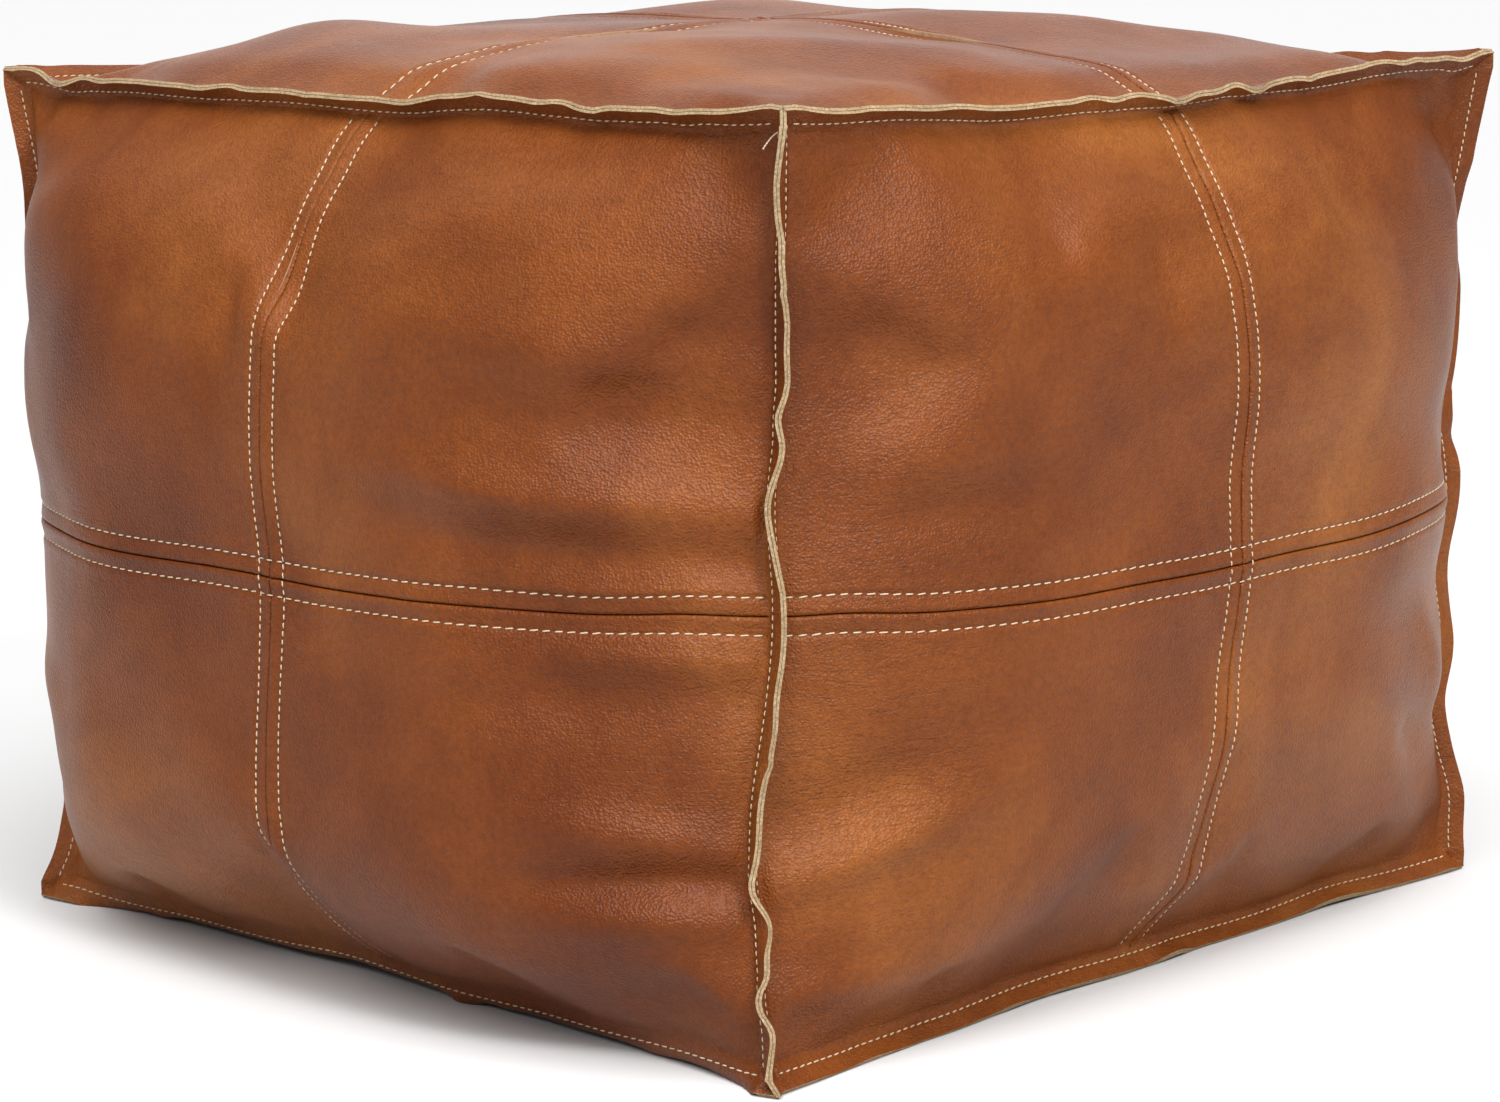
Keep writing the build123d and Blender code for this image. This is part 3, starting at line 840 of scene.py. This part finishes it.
def brass_material():
    n = Nodes("brass_worn")
    wear = n.noise(240, 5, 0.65)
    scratch = n.noise(1.0, 3, 0.6, where=n.stretch(2600, 160, 900))
    colour = n.ramp(wear, (0.3, (0.4, 0.25, 0.09)), (0.65, (0.72, 0.5, 0.2)))
    normal = n.raise_by(wear, 0.0001, 0.25, n.raise_by(scratch, 0.00005, 0.35))
    rough = n.ramp(wear, (0.3, 0.48), (0.7, 0.24))
    return n.shader(Base_Color=colour, Roughness=rough, Normal=normal, Metallic=1.0)


flesh_side = fibre_material(
    "leather_flesh_side", (260, 5, 0.7), (0.3, (0.24, 0.135, 0.07)), (0.7, (0.42, 0.27, 0.15)),
    (0.0008, 0.6), 0.9,
)
leather_skins = [leather_material(), flesh_side, raw_edge_material()]
thread = fibre_material(
    "thread_cream", (1600, 3, 0.6), (0.3, (0.36, 0.26, 0.15)), (0.65, (0.6, 0.48, 0.33)), (0.0003, 0.6), 0.55,
    Sheen_Weight=0.3,
)
cotton = cloth_material("cotton_calico", (0.62, 0.55, 0.42), (0.8, 0.74, 0.62), 420, 420)
tape_cloth = cloth_material("zip_tape_brown", (0.07, 0.03, 0.014), (0.13, 0.062, 0.03), 900, 500)
nylon = fibre_material(
    "nylon_brown", (420, 3, 0.6), (0.3, (0.055, 0.026, 0.012)), (0.7, (0.1, 0.05, 0.024)), (0.0001, 0.3),
    ((0.3, 0.27), (0.7, 0.4)),
)
brass = brass_material()

for face in face_axes:
    for side_u, side_v in sign_pairs:
        make_panel(face, side_u, side_v, leather_skins)

# ---- stitches

stitch_sides = 6
stitch_angles = 2 * math.pi * np.arange(stitch_sides) / stitch_sides
stitch_stations = [      # a stitch 1 long and 1 thick, bent down at its ends: place along X, radius, height
    (-0.5, 0.25, -0.75), (-0.46, 0.7, -0.35), (-0.32, 1.0, 0.0), (0.0, 1.08, 0.12),
    (0.32, 1.0, 0.0), (0.46, 0.7, -0.35), (0.5, 0.25, -0.75),
]
stitch_points = np.array([
    (x, size * math.cos(a), size * math.sin(a) + z) for x, size, z in stitch_stations for a in stitch_angles
])
near = np.arange(len(stitch_points) - stitch_sides).reshape(-1, stitch_sides)
beside = np.roll(near, -1, 1)
stitch_quads = np.stack([near, beside, beside + stitch_sides, near + stitch_sides], -1).reshape(-1, 4)
stitch_ends = np.arange(stitch_sides), len(stitch_points) - 1 - np.arange(stitch_sides)


def between(points, at):
    """Points of a polyline at parts of its index."""
    return np.stack([np.interp(at, np.arange(len(points)), points[:, k]) for k in range(3)], 1)


def lay_stitches(points, normals, kind, seed, slant=stitch_slant):
    """Stitches along a row, a little slanted and uneven: their points, one set after another."""
    draw = np.random.default_rng(seed)
    pitch, length = stitches[kind]
    run = np.concatenate([[0], np.cumsum(np.linalg.norm(np.diff(points, axis=0), axis=1))])
    count = max(2, int(run[-1] / pitch))
    at = np.interp((np.arange(count) + 0.5) * run[-1] / count, run, np.arange(len(points)))
    up = unit(between(normals, at))
    way = between(points, at + 0.5) - between(points, at - 0.5)
    way = unit(way - (way * up).sum(1, keepdims=True) * up)
    side = np.cross(up, way)
    turn = np.radians(slant + draw.normal(0, 2.0, len(at)))[:, None]
    x_way = way * np.cos(turn) + side * np.sin(turn)
    y_way = side * np.cos(turn) - way * np.sin(turn)
    long = length * (1 + draw.normal(0, 0.05, len(at)))[:, None, None]
    made = between(points, at)[:, None] + x_way[:, None] * stitch_points[:, :1] * long
    made = made + y_way[:, None] * stitch_points[:, 1:2] * thread_radius
    made = made + up[:, None] * stitch_points[:, 2:] * thread_radius
    return made.reshape(-1, 3)


def stitch_object(name, rows, node):
    points = np.concatenate(rows)
    starts = np.arange(0, len(points), len(stitch_points))[:, None]
    faces = list((stitch_quads + starts[:, None]).reshape(-1, 4))
    for end in stitch_ends:
        faces += list(end + starts)
    stands_for(to_object(name, points, faces, 0, [thread], 0), node)


def row_on_face(name, x, y, kind, seed):
    """Stitches on a face along points x, y from its middle."""
    half_u, half_v = half_sizes(name)
    place, normal = sheet_points(name, x / half_u, y / half_v, paired=True)
    if name == "base":
        place[:, 2] = base_shape(place)[:, 2]
        normal = np.broadcast_to(face_axes[name][2], place.shape)
    height = relief(name, x, y) + 0.2
    return lay_stitches(place + normal * height[:, None], normal, kind, seed=seed)


row_end, row_points = 2.6, 160    # how far from its edge seams a face's rows end
for face in face_axes:
    half_u, half_v = half_sizes(face)
    level = np.linspace(-half_u + row_end, half_u - row_end, row_points)
    upright = np.linspace(-half_v + row_end, half_v - row_end, row_points)
    rows = []
    for side in (-row_offset, row_offset):
        if face == "base":    # the zip interrupts its level rows and takes the place of its upright ones
            for part in (level[level < -13], level[level > 13]):
                rows.append(row_on_face(face, part, np.full(len(part), side), "level", 11))
            continue
        rows.append(row_on_face(face, level, np.full(row_points, side), "level", 11))
        rows.append(row_on_face(face, np.full(row_points, side), upright, "upright", 12))
    stitch_object(f"{face}_cross_stitches", rows, f"{face}_cross_stitching")

zip_rows = []
for side in (-9.0, 9.0):
    run = np.linspace(-half_side + 7, half_side - 7, 200)
    place = np.stack([np.full(200, side), run, np.full(200, base_seam - 0.25)], 1)
    zip_rows.append(lay_stitches(place, np.broadcast_to([0, 0, -1.0], place.shape), "zip", seed=5))
stitch_object("zip_stitches", zip_rows, "zip_stitching")

face_order = ("top", "base", "front", "back", "left", "right")
sewn = int(np.argmin(np.abs(flange_steps - edge_row)))
for key in edge_lean:
    beside = [name for name in face_order if face_axes[name][2] @ key > 0.5]
    middle_points, across = flange_middle(key, np.linspace(-0.99, 0.99, 170))
    rows = []
    for name in beside:
        way = across[sewn] * np.sign(sides[key] @ face_axes[name][2])
        place = middle_points[sewn] + way * (skived[sewn] + layer_gap - 0.1)
        rows.append(lay_stitches(floor_clamp(place, 1.1), way, "long edge" if key[2] else "edge", seed=21))
    if key == (-1, -1, 0):    # the loose end of its thread
        t = np.linspace(0, 1, 12)[:, None]
        thread_end = place[-1] + t * np.array([-4.6, 4, -3]) + t**2 * np.array([0.6, 1, -4])
        rows.append(lay_stitches(thread_end, np.broadcast_to([-0.7, -0.7, 0.1], (12, 3)), "loose end", 1, 0))
    pair = "_".join(beside)
    stitch_object(f"{pair}_edge_stitches", rows, f"{pair}_edge_stitching")

# ---- bag and filling

sheets = {}              # the relaxed cover once more, at half the cell size
for name, grid in surface.items():
    us, vs = (np.linspace(-1, 1, 2 * count - 1) for count in grid.shape[:2])
    sheets[name] = us, vs, sheet_points(name, us, vs)[0]
stuffed, stuffed_grids = weld(sheets, 2 * box_cells)
stuffed_quads = np.concatenate([grid_faces(grid) for grid in stuffed_grids.values()])
a, b, c, d = (stuffed[stuffed_quads[:, k]] for k in range(4))
stuffed_normals = np.zeros_like(stuffed)
for k in range(4):
    np.add.at(stuffed_normals, stuffed_quads[:, k], np.cross(c - a, d - b))
stuffed_normals = unit(stuffed_normals)
for _ in range(2):        # softer corners than the cover's
    nearby = np.zeros_like(stuffed)
    count = np.zeros(len(stuffed))
    for k in range(4):
        corner = stuffed_quads[:, k]
        np.add.at(nearby, corner, stuffed[stuffed_quads].mean(axis=1) - stuffed[corner])
        np.add.at(count, corner, 1)
    stuffed = stuffed + nearby / count[:, None]


def inset(distance, lumps):
    """The stuffed shape shrunk inwards, with soft lumps."""
    x, y, z = (stuffed / 23).T
    swell = np.sin(x + 1.3 * np.sin(0.7 * y)) * np.sin(1.1 * y + 0.9 * np.sin(0.8 * z)) * np.sin(0.9 * z + x)
    moved = stuffed - stuffed_normals * (distance + lumps * (1 - swell))[:, None]
    moved[:, 2] = np.maximum(moved[:, 2], 3.0 + distance / 2)
    return moved


outside, inside = inset(6.6, 0.3), inset(7.4, 0.3)
bag_quads = np.concatenate([stuffed_quads, stuffed_quads[:, ::-1] + len(outside)])
bag = to_object("cotton_bag_cloth", np.concatenate([outside, inside]), bag_quads, 0, [cotton])
stands_for(bag, "cotton_bag")
filling = to_object("filling_wadding", inset(8.4, 1.4), stuffed_quads, 0, [wadding_material()])
stands_for(filling, "filling")

# ---- zip


def tube(course, radius, sides=6):
    """A closed-ended tube along a course of points: points and faces."""
    way = unit(np.gradient(course, axis=0))
    side = unit(np.cross(way, [0.0, 1.0, 0.12]))
    top = np.cross(side, way)
    around = 2 * math.pi * np.arange(sides) / sides
    ring = np.cos(around)[None, :, None] * side[:, None] + np.sin(around)[None, :, None] * top[:, None]
    places = course[:, None] + ring * radius
    numbers = np.arange(places.shape[0] * sides).reshape(-1, sides)
    numbers = np.concatenate([numbers, numbers[:, :1]], 1)
    faces = list(grid_faces(numbers, True)) + [numbers[0, :-1][::-1], numbers[-1, :-1]]
    return places.reshape(-1, 3), faces


coil_low, coil_high = (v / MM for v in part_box("zip_right_coil"))
tape_low, tape_high = (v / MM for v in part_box("zip_right_tape"))
coil_pitch, coil_wire, coil_inner = 1.3, 0.27, 0.5
turns = int((coil_high.y - coil_low.y) / coil_pitch)
a = np.linspace(0, 2 * math.pi * turns, 12 * turns + 1)
reach = (coil_high.x - coil_inner) / 2 - coil_wire
rise = (coil_high.z - coil_low.z) / 2 - coil_wire
coil_x = (coil_high.x + coil_inner) / 2 + reach * np.cos(a)
coil_y = coil_low.y + coil_wire + (coil_high.y - coil_low.y - 2 * coil_wire) * a / a[-1]
coil_y = coil_y + 0.16 * np.sin(2 * a)
coil_z = (coil_high.z + coil_low.z) / 2 + rise * np.sin(a)

x = np.concatenate([[tape_low.x], np.linspace(tape_low.x + 0.3, tape_high.x - 0.3, 26), [tape_high.x]])
xx, yy = np.meshgrid(x, np.linspace(tape_low.y, tape_high.y, 260), indexing="ij")
bead = 0.12 * bump(xx, tape_high.x - 0.9, 0.5)
wave = 0.07 * np.sin(yy / 6.1) + 0.05 * np.sin(yy / 2.7 + xx) + 0.05 * np.sin(xx * 2.4)
wave = wave * ease((xx - 3.4) / 3)
low_z = tape_low.z - bead * ease((xx - 4) / 3) + wave
high_z = tape_high.z + bead + wave
mid_z = (low_z + high_z) / 2
thin = np.ones_like(xx)
thin[0] = thin[-1] = 0.6

for side, label in ((-1, "left"), (1, "right")):
    coil_points, coil_faces = tube(np.stack([side * coil_x, coil_y, coil_z], 1), coil_wire)
    coil = to_object(f"zip_{label}_coil_loops", coil_points, coil_faces, 0, [nylon], 0)
    stands_for(coil, f"zip_{label}_coil")

    under, over = (np.stack([side * xx, yy, mid_z + (z - mid_z) * thin], -1) for z in (low_z, high_z))
    tape_points, tape_faces, _, _ = closed_sheet(under, over, side > 0)
    tape = to_object(f"zip_{label}_tape_cloth", tape_points, np.concatenate(tape_faces), 0, [tape_cloth])
    stands_for(tape, f"zip_{label}_tape")

for node in ("zip_front_stop", "zip_back_stop", "zip_slider", "zip_pull"):
    part = bpy.data.objects[node]
    part.data.materials.clear()
    part.data.materials.append(brass)

# ---- floor, light and camera


def add_light(name, kind, way, place=(0, 0, 0), **settings):
    """A light that shines along way."""
    data = bpy.data.lights.new(name, kind)
    for key, value in settings.items():
        setattr(data, key, value)
    light = add_object(name, data)
    light.location = place
    light.rotation_mode = "QUATERNION"
    light.rotation_quaternion = Vector(way).to_track_quat("-Z", "Y")


def studio_world():
    """Grey, brighter overhead, with a white backdrop on the far side of the pouf."""
    world = bpy.data.worlds.new("studio")
    bpy.context.scene.world = world
    n = Nodes(world)
    way = n.texture.outputs["Generated"]
    height = n.put(n.add("SeparateXYZ"), Vector=way).outputs["Z"]
    overhead = n.ramp(height, (0.1, (0.16, 0.16, 0.165)), (0.8, 0.8))
    towards = n.math("DOT_PRODUCT", way, (0.73, 0.68, 0.0), "VectorMath")
    backdrop = n.ramp(towards, (0.72, 0.0), (0.95, 0.85))
    both = n.math("ADD", overhead, backdrop, "VectorMath", "Vector")
    background = n.put(n.add("Background"), Color=both, Strength=1.0)
    n.put(n.add("OutputWorld"), Surface=background.outputs["Background"])


def add_camera():
    """A camera on the front left corner, a little above the top, held as a hand-held one is."""
    yaw, pitch, roll = math.radians(46.687), math.radians(9.892), math.radians(-0.664)
    distance, right_shift, up_shift = 1992.4, -2.4, -36.3
    ahead = np.array([math.sin(yaw) * math.cos(pitch), math.cos(yaw) * math.cos(pitch), -math.sin(pitch)])
    right = np.array([math.cos(yaw), -math.sin(yaw), 0.0])
    up = np.cross(right, ahead)
    turned_right = math.cos(roll) * right + math.sin(roll) * up
    turned_up = -math.sin(roll) * right + math.cos(roll) * up
    place = centre - ahead * distance + turned_right * right_shift + turned_up * up_shift
    data = bpy.data.cameras.new("camera")
    data.sensor_width, data.lens = 36.0, 97.37
    camera = add_object("camera", data)
    columns = np.stack([turned_right, turned_up, -ahead, place * MM], 1)
    camera.matrix_world = Matrix([*columns.tolist(), (0, 0, 0, 1)])
    bpy.context.scene.camera = camera


floor_mesh = bpy.data.meshes.new("floor")
floor_mesh.from_pydata([(-12, -12, 0), (12, -12, 0), (12, 12, 0), (-12, 12, 0)], [], [(0, 1, 2, 3)])
floor_mesh.materials.append(Nodes("floor_white").shader(Base_Color=(0.6, 0.6, 0.6), Roughness=0.9))
add_object("floor", floor_mesh)
studio_world()
scene = bpy.context.scene
scene.view_settings.view_transform = "Standard"
scene.view_settings.look = "None"
add_light("above", "SUN", (0.38, 0.38, -1), energy=3.25, angle=math.radians(50))
for name, place, width, height, energy in (
    ("key", (-0.9, -2.15, 1.8), 0.6, 0.6, 50), ("side", (-2.3, -0.8, 1.7), 0.5, 0.6, 12),
):
    towards = Vector((0, 0, 0.3)) - Vector(place)
    add_light(name, "AREA", towards, place, shape="RECTANGLE", size=width, size_y=height, energy=energy)
add_camera()
